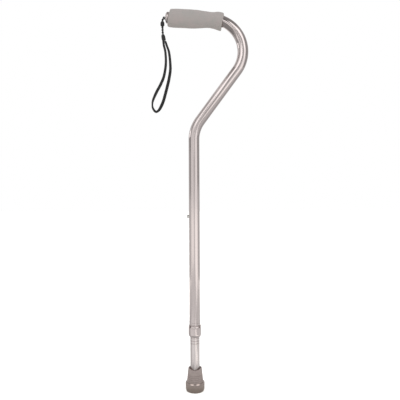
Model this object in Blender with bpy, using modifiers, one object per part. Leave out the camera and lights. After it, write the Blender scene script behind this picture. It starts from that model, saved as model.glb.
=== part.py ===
"""Offset cane with a bent handle tube, a telescopic leg, a foam grip, a wrist strap and a rubber tip.

The origin is the centre of the tip's lower face, +Z runs up the shaft, the handle's free end points
along -X and the offset bows out to +X. It is stored at its shortest setting, standing upright.
"""

import math

import bmesh
import bpy
from mathutils import Matrix, Vector

MM = 0.001
INCH = 25.4 * MM
SEAT_GAP = 0.3 * MM
CUT_MARGIN = 2 * MM
PIVOT_SIZE = 10 * MM

# The two tubes that slide in each other
LEG_DIAMETER = 0.75 * INCH
LEG_WALL = 1.25 * MM
LEG_LENGTH = 378.1 * MM
SLIDE_GAP = 0.3375 * MM
TUBE_WALL = 1.25 * MM
LEG_RADIUS = LEG_DIAMETER / 2
LEG_BORE = LEG_RADIUS - LEG_WALL
TUBE_BORE = LEG_RADIUS + SLIDE_GAP
TUBE_RADIUS = TUBE_BORE + TUBE_WALL
TUBE_SIDES = 24

# Rubber tip, with a steel washer that the leg stands on
TIP_FLOOR = 4.5 * MM
TIP_HEIGHT = 47 * MM
TIP_TOP_WALL = 4 * MM
TIP_MOUTH_DEPTH = 5.5 * MM
TIP_RIM = 1.4 * MM
TIP_DIP_DEPTH = 3.5 * MM
TIP_DIP_WIDTH = 24 * MM
TIP_CONE_WALL = 6.9 * MM
TIP_BASE_HEIGHT = 15.5 * MM
TIP_BASE_RADIUS = 19.4 * MM
TIP_BASE_CHAMFER = 1.1 * MM
TIP_SHOULDER = 2.6 * MM
TREAD_DEPTH = 1.6 * MM
TREAD_RIB = 2.6 * MM
TREAD_GROOVE = 1.8 * MM
TREAD_GROOVES = 2
WASHER_THICKNESS = 1.5 * MM
LEG_BOTTOM = TIP_FLOOR + SEAT_GAP + WASHER_THICKNESS + SEAT_GAP
LEG_TOP = LEG_BOTTOM + LEG_LENGTH

# Snap button on its V spring, in a row of holes one inch apart
HOLE_PITCH = INCH
HOLE_COUNT = 9
HOLE_GAP = 0.25 * MM
BUTTON_BELOW_LEG_TOP = 30 * MM
BUTTON_RADIUS = 3.3 * MM
BUTTON_PROUD = 4.3 * MM
BUTTON_DOME = 1.2 * MM
RIVET_RADIUS = 1.2 * MM
RIVET_TAIL = 1.1 * MM
LEAF_WIDTH = 9 * MM
LEAF_THICKNESS = 0.6 * MM
LEAF_PAD_ABOVE = 8.5 * MM
LEAF_PAD_BELOW = 11 * MM
LEAF_FOLD_BELOW = 42 * MM
LEAF_FOLD_RADIUS = 1.6 * MM
BUTTON_HEIGHT = LEG_TOP - BUTTON_BELOW_LEG_TOP
HOLE_RADIUS = BUTTON_RADIUS + HOLE_GAP
TRAVEL = (HOLE_COUNT - 1) * HOLE_PITCH
BUTTON_DOME_SHARE = 0.55
BUTTON_DOME_ANGLE = 75
LEAF_FACE = math.sqrt((LEG_BORE - SEAT_GAP) ** 2 - (LEAF_WIDTH / 2) ** 2)

# Bent handle tube, measured along its centreline
LOWEST_HOLE = 33.1 * MM
SHAFT_LENGTH = 414.4 * MM
LOWER_BEND_RADIUS = 65 * MM
DIAGONAL_LEAN = math.radians(36.5)
DIAGONAL_LENGTH = 147.3 * MM
UPPER_BEND_RADIUS = 66.7 * MM
HANDLE_RISE = math.radians(1.5)
HANDLE_LENGTH = 86.9 * MM
BEND_STEP = math.radians(5.2)
TUBE_BOTTOM = BUTTON_HEIGHT - TRAVEL - LOWEST_HOLE

# Collar nut that squeezes a split ring on the leg, below the slotted end of the handle tube
SLOT_WIDTH = 1.6 * MM
SLOT_COUNT = 4
SLOT_ABOVE_NUT = 2 * MM
RING_HEIGHT = 5.2 * MM
RING_SPLIT = 2 * MM
RING_TAPER = 0.6 * MM
NUT_LENGTH = 22.5 * MM
NUT_WALL = 1.1 * MM
NUT_LIP = 2.6 * MM
NUT_ROUNDING = 6.5 * MM
NUT_FOOT = 0.5 * MM
NUT_CHAMFER = 0.8 * MM
NUT_BAND = 4.2 * MM
NUT_GROOVE = 0.8 * MM
NUT_GROOVE_DEPTH = 0.3 * MM
SPANNER_NOTCH_COUNT = 4
SPANNER_NOTCH_WIDTH = 4 * MM
SPANNER_NOTCH_DEPTH = 3 * MM
RING_TOP = TUBE_BOTTOM - SEAT_GAP
RING_BOTTOM = RING_TOP - RING_HEIGHT
NUT_BOTTOM = RING_BOTTOM - SEAT_GAP - NUT_LIP
NUT_TOP = NUT_BOTTOM + NUT_LENGTH
NUT_BORE = TUBE_RADIUS + SEAT_GAP
NUT_RADIUS = NUT_BORE + NUT_WALL
LIP_BORE = TUBE_BORE

# Foam grip: how far from the tube's free end, how far its middle hangs under the tube's, and its diameter
GRIP_STATIONS = [
    (1.2, 0.4, 34.6),
    (2.6, 0.4, 36.9),
    (6.4, 0.5, 37.7),
    (22.8, 0.8, 38.9),
    (39.1, 1.1, 39.0),
    (55.5, 1.3, 37.8),
    (71.8, 1.6, 35.2),
    (84.1, 2.2, 33.1),
    (90.5, 2.5, 33.3),
    (96.3, 2.6, 34.6),
    (104.6, 2.1, 37.4),
    (108.6, 1.4, 37.6),
    (110.1, 1.1, 35.8),
]

# End plug with the hole for the strap's cord
PLUG_FLANGE_RADIUS = 12 * MM
PLUG_RIM = 1.3 * MM
PLUG_DOME = 5.4 * MM
PLUG_STEM = 12 * MM
PLUG_HOLE_GAP = 0.5 * MM

# Wrist strap: a thin cord through the plug, a bead, a crimp and a braided loop.
# Its places are measured in mm from the middle of the handle tube's free end.
CORD_DIAMETER = 2.2 * MM
KNOT_RADIUS = 3.2 * MM
BEAD_RADIUS = 3.3 * MM
BEAD_LENGTH = 10.6 * MM
BEAD_END_ANGLE = 65
BEAD_MIDDLE = (-12.2, 0, -11.7)
CRIMP_TOP = (-11.5, 0, -32.9)
CRIMP_BOTTOM = (-8.7, 0, -46.2)
CRIMP_TOP_WIDTH = 5 * MM
CRIMP_WIDTH = 7.8 * MM
CRIMP_FLATNESS = 0.6
BRAID_DIAMETER = 3.6 * MM
CORD_ROUTE = [
    (-7.4, 0.0, 0.2),
    (-9.7, 0.0, -0.2),
    (-11.4, 0.0, -2.3),
    (-12.1, 0.0, -5.3),
    (-12.2, 0.0, -11.7),
    (-12.2, 0.0, -18.9),
    (-12.0, 0.0, -25.9),
    (-11.6, 0.0, -32.4),
]
LOOP_ROUTE = [
    (-10.6, 0.0, -46.9),
    (-9.6, -1.0, -55.4),
    (-6.2, -3.0, -70.9),
    (-5.3, -5.0, -95.2),
    (-9.0, -6.0, -119.7),
    (-15.4, -6.5, -136.1),
    (-24.2, -6.0, -152.4),
    (-31.6, -4.8, -168.7),
    (-33.2, -3.2, -178.3),
    (-31.6, -1.8, -185.8),
    (-26.2, 0.0, -191.4),
    (-20.3, 1.8, -187.6),
    (-15.4, 3.4, -178.8),
    (-11.4, 4.6, -168.7),
    (-6.9, 6.0, -152.4),
    (-2.8, 6.5, -136.1),
    (0.9, 6.5, -119.7),
    (3.4, 5.5, -99.4),
    (1.1, 3.0, -70.7),
    (-3.8, 1.0, -55.4),
    (-6.6, 0.0, -47.3),
]


COLOURS = {
    "anodised_tube": ((0.56, 0.52, 0.51), 0.3, 1.0),
    "leg_tube": ((0.64, 0.61, 0.60), 0.28, 1.0),
    "grip_foam": ((0.38, 0.37, 0.36), 0.9, 0.0),
    "polished_plug": ((0.62, 0.58, 0.57), 0.2, 1.0),
    "spring_steel": ((0.55, 0.55, 0.54), 0.35, 1.0),
    "tip_rubber": ((0.25, 0.22, 0.21), 0.75, 0.0),
    "ring_plastic": ((0.75, 0.75, 0.73), 0.5, 0.0),
    "strap_black": ((0.02, 0.02, 0.02), 0.8, 0.0),
}


def new_collection(name):
    made = bpy.data.collections.new(name)
    bpy.context.scene.collection.children.link(made)
    return made


def clear_scene():
    for old in list(bpy.data.objects):
        bpy.data.objects.remove(old, do_unlink=True)


def new_material(name):
    colour, roughness, metallic = COLOURS[name]
    made = bpy.data.materials.new(name)
    made.use_nodes = True
    shader = made.node_tree.nodes["Principled BSDF"]
    shader.inputs["Base Color"].default_value = (*colour, 1)
    shader.inputs["Roughness"].default_value = roughness
    shader.inputs["Metallic"].default_value = metallic
    return made


def new_pivot(name, place):
    """An empty on the axis that the pieces under it move about or along."""
    pivot = bpy.data.objects.new(name, None)
    pivot.location = place
    pivot.empty_display_size = PIVOT_SIZE
    parts.objects.link(pivot)
    return pivot


def add_part(name, data, material, pivot=None):
    piece = bpy.data.objects.new(name, data)
    parts.objects.link(piece)
    data.materials.append(materials[material])
    if pivot:
        piece.parent = pivot
        piece.matrix_parent_inverse = pivot.matrix_basis.inverted()
    return piece


def cut(piece, cutter_mesh):
    """Takes a mesh, given in the piece's own space, out of the piece."""
    name = f"{piece.name}_cutter_{len(piece.modifiers)}"
    cutter = bpy.data.objects.new(name, cutter_mesh)
    cutters.objects.link(cutter)
    cutter.matrix_basis = piece.matrix_basis
    cutter.display_type = "WIRE"
    cutter.hide_render = True
    taken = piece.modifiers.new(f"cut {cutter.name}", "BOOLEAN")
    taken.operation = "DIFFERENCE"
    taken.solver = "EXACT"
    taken.object = cutter


def smooth_shading(mesh):
    mesh.shade_smooth()
    mesh.set_sharp_from_angle(angle=math.radians(35))


def filled_mesh(name, shape):
    """A mesh from a bmesh that is then freed."""
    mesh = bpy.data.meshes.new(name)
    bmesh.ops.recalc_face_normals(shape, faces=shape.faces)
    shape.to_mesh(mesh)
    shape.free()
    return mesh


def turned(name, profile, material, pivot=None, steps=32):
    """A profile of (radius, height) points turned about Z. It runs down the outer side.

    A profile whose first and last points are both on the axis is open, and any other is a closed ring.
    """
    mesh = bpy.data.meshes.new(name)
    last = len(profile) - 1
    edges = [(i, i + 1) for i in range(last)]
    if profile[0][0] > 0 or profile[-1][0] > 0:
        edges.append((last, 0))
    mesh.from_pydata([(r, 0, z) for r, z in profile], edges, [])
    piece = add_part(name, mesh, material, pivot)
    screw = piece.modifiers.new("turn", "SCREW")
    screw.axis = "Z"
    screw.angle = math.tau
    screw.steps = steps
    screw.render_steps = steps
    screw.use_merge_vertices = True
    screw.merge_threshold = 1e-5
    screw.use_smooth_shade = True
    return piece


def arc(centre, radii, start, end, steps):
    """Points on a quarter ellipse in a profile, with its angles in degrees."""
    points = []
    for i in range(steps + 1):
        angle = math.radians(start + (end - start) * i / steps)
        x = centre[0] + radii[0] * math.cos(angle)
        z = centre[1] + radii[1] * math.sin(angle)
        points.append((x, z))
    return points


def smooth_through(points, steps):
    """A Catmull-Rom curve through points of any dimension, with steps pieces in each gap."""
    rows = [Vector(p) for p in points]
    ends = [2 * rows[0] - rows[1], *rows, 2 * rows[-1] - rows[-2]]
    found = []
    for a, b, c, d in zip(ends, ends[1:], ends[2:], ends[3:]):
        for i in range(steps):
            t = i / steps
            found.append(
                0.5
                * (
                    2 * b
                    + (c - a) * t
                    + (2 * a - 5 * b + 4 * c - d) * t**2
                    + (3 * b - a - 3 * c + d) * t**3
                )
            )
    return [*found, rows[-1]]


def round_curve(name, points, radius, resolution, radii=None, capped=True):
    """A curve object's data: a round bar along the points. radii are shares of radius."""
    data = bpy.data.curves.new(name, "CURVE")
    data.dimensions = "3D"
    data.bevel_depth = radius
    data.bevel_resolution = resolution
    data.use_fill_caps = capped
    data.twist_mode = "MINIMUM"
    line = data.splines.new("POLY")
    line.points.add(len(points) - 1)
    for i, (spot, place) in enumerate(zip(line.points, points)):
        spot.co = (*place, 1)
        spot.radius = radii[i] if radii else 1
    return data


def bar_mesh(name, points, radius, sides, radii=None, capped=True):
    """The round bar along the points as a mesh, ready to cut or to be a cutter."""
    data = round_curve(name, points, radius, (sides - 4) // 2, radii, capped)
    carrier = bpy.data.objects.new(name, data)
    parts.objects.link(carrier)
    graph = bpy.context.evaluated_depsgraph_get()
    mesh = bpy.data.meshes.new_from_object(carrier.evaluated_get(graph))
    bpy.data.objects.remove(carrier)
    shape = bmesh.new()
    shape.from_mesh(mesh)
    bpy.data.meshes.remove(mesh)
    bmesh.ops.remove_doubles(shape, verts=shape.verts, dist=1e-6)
    return filled_mesh(name, shape)


class Route:
    """A centreline in the XZ plane, laid from straight runs and round bends."""

    def __init__(self, x, z, heading):
        self.points = [Vector((x, 0, z))]
        self.heading = heading

    def direction(self):
        return Vector((math.sin(self.heading), 0, math.cos(self.heading)))

    def ahead(self, length):
        self.points.append(self.points[-1] + self.direction() * length)

    def bend(self, radius, angle):
        """Turns to +X for a positive angle, on an arc of that radius."""
        steps = math.ceil(abs(angle) / BEND_STEP)
        side = math.copysign(1, angle)
        chord = 2 * radius * math.sin(abs(angle) / steps / 2)
        for _ in range(steps):
            self.heading += side * abs(angle) / steps / 2
            self.ahead(chord)
            self.heading += side * abs(angle) / steps / 2

    def ending(self, length):
        """The line's points from at least that length before its end."""
        first = len(self.points) - 1
        while length > 0:
            first -= 1
            length -= (self.points[first + 1] - self.points[first]).length
        return self.points[first:]


def handle_route():
    """The bent tube's centreline from its slotted lower end to its free end in the grip."""
    route = Route(0, TUBE_BOTTOM, 0)
    corner_cut = LOWER_BEND_RADIUS * math.tan(DIAGONAL_LEAN / 2)
    route.ahead(SHAFT_LENGTH - corner_cut)
    route.bend(LOWER_BEND_RADIUS, DIAGONAL_LEAN)
    route.ahead(DIAGONAL_LENGTH - corner_cut)
    route.bend(UPPER_BEND_RADIUS, -(math.pi / 2 - HANDLE_RISE + DIAGONAL_LEAN))
    route.ahead(HANDLE_LENGTH)
    return route


def along(points, distance):
    """The place at a distance along a line of points, and the line's direction there."""
    for start, end in zip(points, points[1:]):
        step = (end - start).length
        if distance <= step or end is points[-1]:
            direction = (end - start) / step
            return start + direction * distance, direction
        distance -= step


def holes_mesh(heights, inner, outer):
    """Round cutters along -X, one at each height, from one distance from the axis to another."""
    shape = bmesh.new()
    for height in heights:
        place = Matrix.Translation((-(inner + outer) / 2, 0, height))
        bmesh.ops.create_cone(
            shape,
            cap_ends=True,
            segments=TUBE_SIDES,
            radius1=HOLE_RADIUS,
            radius2=HOLE_RADIUS,
            depth=outer - inner,
            matrix=place @ Matrix.Rotation(math.pi / 2, 4, "Y"),
        )
    return filled_mesh("holes", shape)


def slots_mesh(count, width, low, high, inner, outer):
    """Upright box cutters around Z, the first one between +X and -Y."""
    shape = bmesh.new()
    for i in range(count):
        turn = Matrix.Rotation(math.tau * (i - 0.5) / count, 4, "Z")
        place = Matrix.Translation(((inner + outer) / 2, 0, (low + high) / 2))
        size = Matrix.Diagonal((outer - inner, width, high - low, 1))
        bmesh.ops.create_cube(shape, size=1, matrix=turn @ place @ size)
    return filled_mesh("slots", shape)


def dip_mesh(depth, width, top, reach):
    """A round bar lying along Y that takes a shallow dip, as deep and wide as given, out of a flat top."""
    radius = (width * width / 4 + depth * depth) / (2 * depth)
    place = Matrix.Translation((0, 0, top - depth + radius))
    shape = bmesh.new()
    bmesh.ops.create_cone(
        shape,
        cap_ends=True,
        segments=80,
        radius1=radius,
        radius2=radius,
        depth=2 * reach,
        matrix=place @ Matrix.Rotation(math.pi / 2, 4, "X"),
    )
    return filled_mesh("dip", shape)


def make_tip():
    socket = LEG_RADIUS + SEAT_GAP
    mouth = socket + TIP_TOP_WALL - TIP_RIM
    cone_low = socket + TIP_CONE_WALL
    profile = [
        (0, TIP_FLOOR),
        (socket, TIP_FLOOR),
        (socket, TIP_HEIGHT - TIP_MOUTH_DEPTH),
        (mouth, TIP_HEIGHT),
        (socket + TIP_TOP_WALL - TIP_RIM / 3, TIP_HEIGHT),
        (socket + TIP_TOP_WALL, TIP_HEIGHT - TIP_RIM),
        (cone_low, TIP_BASE_HEIGHT + TIP_SHOULDER / 2),
        (cone_low + TIP_SHOULDER / 6, TIP_BASE_HEIGHT),
    ]
    corner = (TIP_BASE_RADIUS - TIP_SHOULDER, TIP_BASE_HEIGHT - TIP_SHOULDER)
    profile += arc(corner, (TIP_SHOULDER, TIP_SHOULDER), 90, 0, 4)
    profile += [
        (TIP_BASE_RADIUS - TIP_BASE_CHAMFER / 4, TIP_BASE_CHAMFER * 2),
        (TIP_BASE_RADIUS - TIP_BASE_CHAMFER, 0),
    ]
    edge = TIP_BASE_RADIUS - TIP_BASE_CHAMFER
    for _ in range(TREAD_GROOVES):
        edge -= TREAD_RIB
        profile += [(edge, 0), (edge, TREAD_DEPTH)]
        edge -= TREAD_GROOVE
        profile += [(edge, TREAD_DEPTH), (edge, 0)]
    profile.append((0, 0))
    tip = turned("rubber_tip", profile, "tip_rubber")
    cut(tip, dip_mesh(TIP_DIP_DEPTH, TIP_DIP_WIDTH, TIP_HEIGHT, mouth + CUT_MARGIN))


def make_washer():
    profile = [
        (0, TIP_FLOOR + SEAT_GAP + WASHER_THICKNESS),
        (LEG_RADIUS, TIP_FLOOR + SEAT_GAP + WASHER_THICKNESS),
        (LEG_RADIUS, TIP_FLOOR + SEAT_GAP),
        (0, TIP_FLOOR + SEAT_GAP),
    ]
    turned("tip_washer", profile, "spring_steel", steps=24)


def make_leg():
    profile = [
        (LEG_RADIUS, LEG_TOP),
        (LEG_RADIUS, LEG_BOTTOM),
        (LEG_BORE, LEG_BOTTOM),
        (LEG_BORE, LEG_TOP),
    ]
    leg = turned("lower_tube", profile, "leg_tube", steps=TUBE_SIDES)
    cut(leg, holes_mesh([BUTTON_HEIGHT], LEAF_FACE, LEG_RADIUS + CUT_MARGIN))


def make_button(pivot):
    """A round pin with a domed end, riveted through the spring leaf."""
    tip = TUBE_RADIUS + BUTTON_PROUD
    base = LEAF_FACE + SEAT_GAP
    tail = LEAF_FACE - LEAF_THICKNESS - RIVET_TAIL
    profile = [(0, tip)]
    profile += arc(
        (BUTTON_RADIUS * (1 - BUTTON_DOME_SHARE), tip - BUTTON_DOME),
        (BUTTON_RADIUS * BUTTON_DOME_SHARE, BUTTON_DOME),
        BUTTON_DOME_ANGLE,
        0,
        3,
    )
    profile += [(BUTTON_RADIUS, base), (RIVET_RADIUS, base), (RIVET_RADIUS, tail), (0, tail)]
    button = turned("snap_button", profile, "spring_steel", pivot, steps=20)
    button.matrix_basis = Matrix.Translation((0, 0, BUTTON_HEIGHT)) @ Matrix.Rotation(
        -math.pi / 2, 4, "Y"
    )


def make_spring():
    """A V-shaped leaf: its fold is low in the leg, and its two arms press on the bore's sides."""
    middle = LEAF_FACE - LEAF_THICKNESS / 2
    fold = BUTTON_HEIGHT - LEAF_FOLD_BELOW
    knee = BUTTON_HEIGHT - LEAF_PAD_BELOW
    line = [(-middle, BUTTON_HEIGHT + LEAF_PAD_ABOVE), (-middle, knee)]
    line += arc((0, fold), (LEAF_FOLD_RADIUS, LEAF_FOLD_RADIUS), 180, 360, 6)
    line += [(middle, knee), (middle, BUTTON_HEIGHT)]
    shape = bmesh.new()
    edge = [shape.verts.new((x, -LEAF_WIDTH / 2, z)) for x, z in line]
    strips = [shape.edges.new(pair) for pair in zip(edge, edge[1:])]
    wide = bmesh.ops.extrude_edge_only(shape, edges=strips)["geom"]
    moved = [v for v in wide if isinstance(v, bmesh.types.BMVert)]
    bmesh.ops.translate(shape, verts=moved, vec=(0, LEAF_WIDTH, 0))
    spring = add_part("snap_spring", filled_mesh("snap_spring", shape), "spring_steel")
    thick = spring.modifiers.new("leaf", "SOLIDIFY")
    thick.thickness = LEAF_THICKNESS
    thick.offset = 0
    thick.use_even_offset = True
    hole = bmesh.new()
    bmesh.ops.create_cone(
        hole,
        cap_ends=True,
        segments=16,
        radius1=RIVET_RADIUS + SEAT_GAP,
        radius2=RIVET_RADIUS + SEAT_GAP,
        depth=LEAF_THICKNESS + CUT_MARGIN,
        matrix=Matrix.Translation((-middle, 0, BUTTON_HEIGHT))
        @ Matrix.Rotation(math.pi / 2, 4, "Y"),
    )
    cut(spring, filled_mesh("rivet hole", hole))


def make_handle_tube(pivot, route):
    mesh = bar_mesh("upper_tube", route.points, TUBE_RADIUS, TUBE_SIDES, capped=False)
    smooth_shading(mesh)
    tube = add_part("upper_tube", mesh, "anodised_tube", pivot)
    wall = tube.modifiers.new("wall", "SOLIDIFY")
    wall.thickness = TUBE_WALL
    wall.offset = -1
    wall.use_even_offset = True
    heights = [BUTTON_HEIGHT - i * HOLE_PITCH for i in range(HOLE_COUNT)]
    cut(tube, holes_mesh(heights, TUBE_BORE - CUT_MARGIN, TUBE_RADIUS + CUT_MARGIN))
    cut(
        tube,
        slots_mesh(
            SLOT_COUNT,
            SLOT_WIDTH,
            TUBE_BOTTOM - CUT_MARGIN,
            NUT_TOP + SLOT_ABOVE_NUT,
            TUBE_BORE - CUT_MARGIN,
            TUBE_RADIUS + CUT_MARGIN,
        ),
    )


def make_collar_ring(pivot):
    profile = [
        (TUBE_RADIUS, RING_TOP),
        (TUBE_RADIUS, RING_BOTTOM + RING_TAPER * 2),
        (TUBE_RADIUS - RING_TAPER, RING_BOTTOM),
        (TUBE_BORE, RING_BOTTOM),
        (TUBE_BORE, RING_TOP),
    ]
    ring = turned("collar_ring", profile, "ring_plastic", pivot, steps=TUBE_SIDES)
    low, high = RING_BOTTOM - CUT_MARGIN, RING_TOP + CUT_MARGIN
    inner, outer = TUBE_BORE - CUT_MARGIN, TUBE_RADIUS + CUT_MARGIN
    cut(ring, slots_mesh(1, RING_SPLIT, low, high, inner, outer))


def make_collar_nut(pivot):
    foot = LIP_BORE + NUT_FOOT
    rounding = (NUT_RADIUS - foot, NUT_ROUNDING)
    groove = NUT_TOP - NUT_BAND
    profile = [
        (NUT_RADIUS - NUT_CHAMFER / 2, NUT_TOP),
        (NUT_RADIUS, NUT_TOP - NUT_CHAMFER),
        (NUT_RADIUS, groove),
        (NUT_RADIUS - NUT_GROOVE_DEPTH, groove - NUT_GROOVE / 2),
        (NUT_RADIUS, groove - NUT_GROOVE),
    ]
    profile += arc((foot, NUT_BOTTOM + NUT_ROUNDING), rounding, 0, -90, 6)
    profile += [
        (LIP_BORE, NUT_BOTTOM),
        (LIP_BORE, NUT_BOTTOM + NUT_LIP),
        (NUT_BORE, NUT_BOTTOM + NUT_LIP),
        (NUT_BORE, NUT_TOP),
    ]
    nut = turned("collar_nut", profile, "anodised_tube", pivot)
    low, high = NUT_TOP - SPANNER_NOTCH_DEPTH, NUT_TOP + CUT_MARGIN
    inner, outer = NUT_BORE - CUT_MARGIN, NUT_RADIUS + CUT_MARGIN
    cut(nut, slots_mesh(SPANNER_NOTCH_COUNT, SPANNER_NOTCH_WIDTH, low, high, inner, outer))


def grip_points(route):
    """The grip's centreline and its diameters, from its free end round the start of the bend."""
    line = route.points[::-1]
    rows = []
    for distance, drop, diameter in GRIP_STATIONS:
        place, direction = along(line, distance * MM)
        down = Vector((0, 1, 0)).cross(direction)
        rows.append((place + down * drop * MM, diameter * MM))
    dense = smooth_through([(p.x, p.z, d) for p, d in rows], 2)
    return [Vector((x, 0, z)) for x, z, _ in dense], [d for _, _, d in dense]


def make_grip(pivot, route):
    points, diameters = grip_points(route)
    widest = max(diameters) / 2
    shares = [d / 2 / widest for d in diameters]
    mesh = bar_mesh("foam_grip", points, widest, TUBE_SIDES, shares)
    smooth_shading(mesh)
    grip = add_part("foam_grip", mesh, "grip_foam", pivot)
    bore_line = route.ending(GRIP_STATIONS[-1][0] * MM + TUBE_RADIUS)
    bore_line.append(bore_line[-1] + route.direction() * CUT_MARGIN)
    cut(grip, bar_mesh("grip bore", bore_line, TUBE_RADIUS + SEAT_GAP, TUBE_SIDES))


def make_plug(pivot, route):
    """A domed cap on a stem that fits the tube, bored for the strap's cord."""
    stem = TUBE_BORE - SEAT_GAP
    rim = SEAT_GAP + PLUG_RIM
    hole = CORD_DIAMETER / 2 + PLUG_HOLE_GAP
    hole_edge = math.degrees(math.acos(hole / PLUG_FLANGE_RADIUS))
    profile = arc((0, rim), (PLUG_FLANGE_RADIUS, PLUG_DOME), hole_edge, 0, 8)
    profile += [
        (PLUG_FLANGE_RADIUS, SEAT_GAP),
        (stem, SEAT_GAP),
        (stem, SEAT_GAP - PLUG_STEM),
        (hole, SEAT_GAP - PLUG_STEM),
    ]
    plug = turned("end_plug", profile, "polished_plug", pivot)
    plug.matrix_basis = free_end_frame(route)


def free_end_frame(route):
    """The frame at the tube's free end, with its Z axis pointing out along the tube."""
    turn = route.direction().to_track_quat("Z", "Y").to_matrix().to_4x4()
    return Matrix.Translation(route.points[-1]) @ turn


def make_strap(pivot, route):
    end, out = route.points[-1], route.direction()

    def placed(point):
        return end + Vector(point) * MM

    knot = end + out * (SEAT_GAP - PLUG_STEM - SEAT_GAP - KNOT_RADIUS)
    shape = bmesh.new()
    bmesh.ops.create_uvsphere(
        shape, u_segments=12, v_segments=8, radius=KNOT_RADIUS, matrix=Matrix.Translation(knot)
    )
    add_part("strap_knot", filled_mesh("strap_knot", shape), "strap_black", pivot)

    inner = knot + out * (KNOT_RADIUS + SEAT_GAP)
    bends = smooth_through([placed(point) for point in CORD_ROUTE], 3)
    cord = round_curve("strap_cord", [inner, *bends], CORD_DIAMETER / 2, 2)
    add_part("strap_cord", cord, "strap_black", pivot)

    bore = CORD_DIAMETER / 2 + SEAT_GAP
    half_height = BEAD_LENGTH / 2 / math.sin(math.radians(BEAD_END_ANGLE))
    rounded = arc((0, 0), (BEAD_RADIUS, half_height), BEAD_END_ANGLE, -BEAD_END_ANGLE, 8)
    profile = [(bore, rounded[0][1]), *rounded, (bore, rounded[-1][1])]
    bead = turned("strap_bead", profile, "strap_black", pivot, steps=16)
    bead.matrix_basis = Matrix.Translation(placed(BEAD_MIDDLE))

    axis = placed(CRIMP_TOP) - placed(CRIMP_BOTTOM)
    shape = bmesh.new()
    bmesh.ops.create_cone(
        shape,
        cap_ends=True,
        segments=16,
        radius1=CRIMP_WIDTH / 2,
        radius2=CRIMP_TOP_WIDTH / 2,
        depth=axis.length,
    )
    bmesh.ops.scale(shape, vec=(1, CRIMP_FLATNESS, 1), verts=shape.verts)
    crimp = add_part("strap_crimp", filled_mesh("strap_crimp", shape), "strap_black", pivot)
    tilt = math.atan2(axis.x, axis.z)
    middle = Matrix.Translation((placed(CRIMP_TOP) + placed(CRIMP_BOTTOM)) / 2)
    crimp.matrix_basis = middle @ Matrix.Rotation(tilt, 4, "Y")

    line = smooth_through([placed(point) for point in LOOP_ROUTE], 3)
    loop = round_curve("strap_loop", line, BRAID_DIAMETER / 2, 2)
    add_part("strap_loop", loop, "strap_black", pivot)


clear_scene()
parts = new_collection("offset cane")
cutters = new_collection("cutters")
materials = {name: new_material(name) for name in COLOURS}
handle = handle_route()
shaft_pivot = new_pivot("shaft_pivot", (0, 0, TUBE_BOTTOM))
button_pivot = new_pivot("button_pivot", (-TUBE_RADIUS, 0, BUTTON_HEIGHT))
collar_pivot = new_pivot("collar_pivot", (0, 0, NUT_BOTTOM))
strap_pivot = new_pivot("strap_pivot", handle.points[-1])

make_tip()
make_washer()
make_leg()
make_spring()
make_button(button_pivot)
make_handle_tube(shaft_pivot, handle)
make_collar_ring(shaft_pivot)
make_collar_nut(collar_pivot)
make_grip(shaft_pivot, handle)
make_plug(shaft_pivot, handle)
make_strap(strap_pivot, handle)
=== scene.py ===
# Offset walking cane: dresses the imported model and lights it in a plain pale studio
from math import atan2, ceil, copysign, cos, exp, hypot, pi, radians, sin, tan, tau

import bmesh
import bpy
import numpy as np
from mathutils import Matrix, Vector


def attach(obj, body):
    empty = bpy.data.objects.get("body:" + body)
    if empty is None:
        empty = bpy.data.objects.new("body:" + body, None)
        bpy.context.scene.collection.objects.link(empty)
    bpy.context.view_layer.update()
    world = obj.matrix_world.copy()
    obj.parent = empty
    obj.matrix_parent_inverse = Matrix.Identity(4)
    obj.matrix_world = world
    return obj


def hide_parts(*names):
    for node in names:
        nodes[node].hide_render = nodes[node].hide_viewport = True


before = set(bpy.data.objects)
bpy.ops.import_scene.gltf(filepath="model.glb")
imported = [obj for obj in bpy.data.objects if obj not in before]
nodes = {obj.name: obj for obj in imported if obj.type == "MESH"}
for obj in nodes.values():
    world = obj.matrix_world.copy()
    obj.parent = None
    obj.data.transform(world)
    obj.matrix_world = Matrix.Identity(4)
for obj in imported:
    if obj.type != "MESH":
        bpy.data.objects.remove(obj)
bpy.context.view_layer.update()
mm = 0.001
print("frame loaded")


# Camera

shot = {
    "distance": 0.95, "height": 0.388, "aside": 0.0117, "roll": -0.27, "frameWidth": 0.8168,
    "sensor": 36.0,
}


def placeCamera():
    data = bpy.data.cameras.new("shotCamera")
    data.sensor_width = shot["sensor"]
    data.lens = shot["sensor"] * shot["distance"] / shot["frameWidth"]
    camera = bpy.data.objects.new("shotCamera", data)
    bpy.context.scene.collection.objects.link(camera)
    camera.matrix_world = (
        Matrix.Translation((shot["aside"], -shot["distance"], shot["height"]))
        @ Matrix.Rotation(radians(90), 4, "X")
        @ Matrix.Rotation(radians(shot["roll"]), 4, "Z")
    )
    bpy.context.scene.camera = camera


placeCamera()
print("camera placed")


# Small helpers

sharpAngle = radians(40)
depthAxis = Vector((0, 1, 0))
# a colour Mix node's two colours and its result, which are reached by number
mixFrom, mixTo, mixOut = 6, 7, 2


def linear(hexColour):
    parts = [int(hexColour[i:i + 2], 16) / 255 for i in (1, 3, 5)]
    return (*[p / 12.92 if p <= 0.04045 else ((p + 0.055) / 1.055) ** 2.4 for p in parts], 1)


def feed(node, inputs):
    # an input takes a plain value, a socket, a node for its first output, or a list of those
    for key, value in (inputs if isinstance(inputs, dict) else dict(enumerate(inputs))).items():
        for source in value if isinstance(value, list) else [value]:
            if isinstance(source, bpy.types.Node):
                source = source.outputs[0]
            if isinstance(source, bpy.types.NodeSocket):
                node.id_data.links.new(source, node.inputs[key])
            else:
                node.inputs[key].default_value = source


def addNode(tree, kind, inputs=(), settings=()):
    # settings of one word are the node's operation, and inputs go by name or in order
    node = tree.nodes.new(kind)
    for name, value in dict({"operation": settings} if isinstance(settings, str) else settings).items():
        setattr(node, name, value)
    feed(node, inputs)
    return node


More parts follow.
